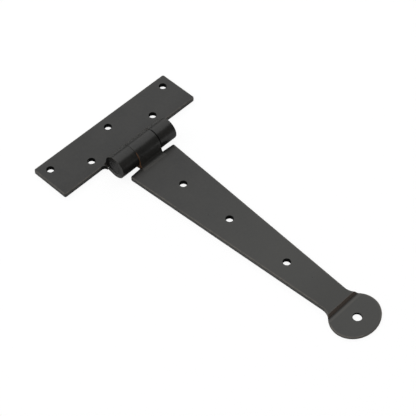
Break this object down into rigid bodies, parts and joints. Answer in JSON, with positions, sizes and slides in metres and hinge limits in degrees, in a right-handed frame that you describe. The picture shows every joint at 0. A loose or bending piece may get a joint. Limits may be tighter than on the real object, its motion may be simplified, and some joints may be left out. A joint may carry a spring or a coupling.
{
  "type": "tee hinge",
  "caption": "Black tee hinge: a long tapered strap ending in a flattened round penny, joined to a plain cross leaf by a rolled barrel and a hidden pin.",
  "frame": {"origin": "on the plane of both backs, straight below the middle of the hinge pin", "axes": "+X along the strap from the pin to the penny, +Y along the pin, +Z out of the front, away from the door"},
  "size_m": [0.274, 0.136, 0.0188],
  "materials": {
    "black_leaf": "satin black coat on steel plate",
    "black_pin": "satin black coat on steel rod"
  },
  "bodies": {
    "cross": {"cross_leaf": "black_leaf", "hinge_pin": "black_pin"},
    "strap": {"strap_leaf": "black_leaf"}
  },
  "joints": [
    {"name": "leaf_hinge", "type": "hinge", "parent": "cross", "child": "strap", "pos_m": [0, 0, 0.0094], "axis": [0, -1, 0], "range_deg": [-95, 192]}
  ]
}
